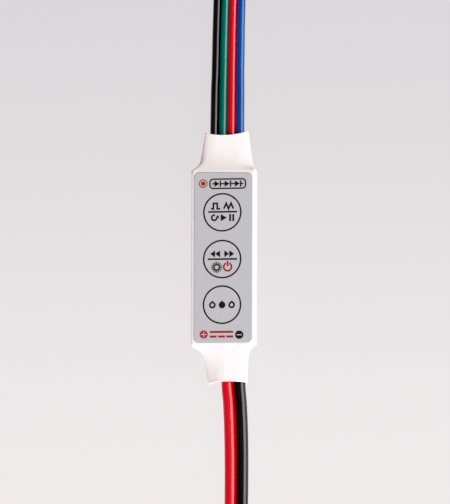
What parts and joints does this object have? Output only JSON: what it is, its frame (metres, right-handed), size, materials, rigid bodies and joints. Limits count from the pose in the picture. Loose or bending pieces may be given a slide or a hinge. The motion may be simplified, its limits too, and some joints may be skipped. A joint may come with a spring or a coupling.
{
  "type": "led strip controller",
  "caption": "Flat inline controller for a colour light strip, in a heat-shrunk sleeve with sprung keys, a ribbon lead with a connector and a power lead with tinned ends.",
  "frame": {"origin": "centre of the underside of the sleeve, on the surface it lies on", "axes": "+Z out of the key face, +Y towards the output wires, +X to the right when the output wires point up"},
  "size_m": [0.012, 0.268, 0.0049],
  "materials": {
    "sleeve_white": "satin heat-shrink film",
    "label_grey": "matte printed film",
    "cover_white": "moulded",
    "board_green": "solder mask",
    "copper": "bright copper",
    "solder": "bright solder",
    "switch_steel": "pressed sheet",
    "switch_black": "moulded",
    "plunger_ivory": "moulded",
    "chip_black": "moulded epoxy",
    "resistor_black": "glazed",
    "capacitor_tan": "fired",
    "wire_black": "extruded",
    "wire_green": "extruded",
    "wire_red": "extruded",
    "wire_blue": "extruded",
    "connector_black": "moulded",
    "contact_gold": "gold flash"
  },
  "bodies": {
    "controller": {"shrink_sleeve": "sleeve_white", "face_label": "label_grey", "inner_cover": "cover_white", "circuit_board": "board_green", "solder_pads": "copper", "mode_dome": "switch_steel", "speed_dome": "switch_steel", "color_dome": "switch_steel", "mode_switch_base": "switch_black", "speed_switch_base": "switch_black", "color_switch_base": "switch_black", "mode_switch_frame": "switch_steel", "speed_switch_frame": "switch_steel", "color_switch_frame": "switch_steel", "switch_terminals": "solder", "microcontroller": "chip_black", "microcontroller_leads": "solder", "output_transistors": "chip_black", "transistor_leads": "solder", "voltage_regulator": "chip_black", "regulator_leads": "solder", "reverse_diode": "chip_black", "diode_leads": "solder", "chip_resistors": "resistor_black", "chip_capacitors": "capacitor_tan", "chip_end_caps": "solder", "output_conductors": "copper", "power_conductors": "copper", "output_solder_joints": "solder", "power_solder_joints": "solder", "output_wire_black": "wire_black", "output_wire_green": "wire_green", "output_wire_red": "wire_red", "output_wire_blue": "wire_blue", "power_wire_red": "wire_red", "power_wire_black": "wire_black", "output_connector": "connector_black", "connector_contacts": "contact_gold", "power_tinned_ends": "solder"},
    "mode_button": {"mode_key": "label_grey", "mode_pad": "sleeve_white", "mode_plunger": "plunger_ivory"},
    "speed_button": {"speed_key": "label_grey", "speed_pad": "sleeve_white", "speed_plunger": "plunger_ivory"},
    "color_button": {"color_key": "label_grey", "color_pad": "sleeve_white", "color_plunger": "plunger_ivory"}
  },
  "joints": [
    {"name": "mode_press", "type": "slide", "parent": "controller", "child": "mode_button", "axis": [0, 0, -1], "range_m": [0, 0.00025], "stiffness_N_per_m": 6400, "deforming": ["mode_dome"]},
    {"name": "speed_press", "type": "slide", "parent": "controller", "child": "speed_button", "axis": [0, 0, -1], "range_m": [0, 0.00025], "stiffness_N_per_m": 6400, "deforming": ["speed_dome"]},
    {"name": "color_press", "type": "slide", "parent": "controller", "child": "color_button", "axis": [0, 0, -1], "range_m": [0, 0.00025], "stiffness_N_per_m": 6400, "deforming": ["color_dome"]}
  ]
}
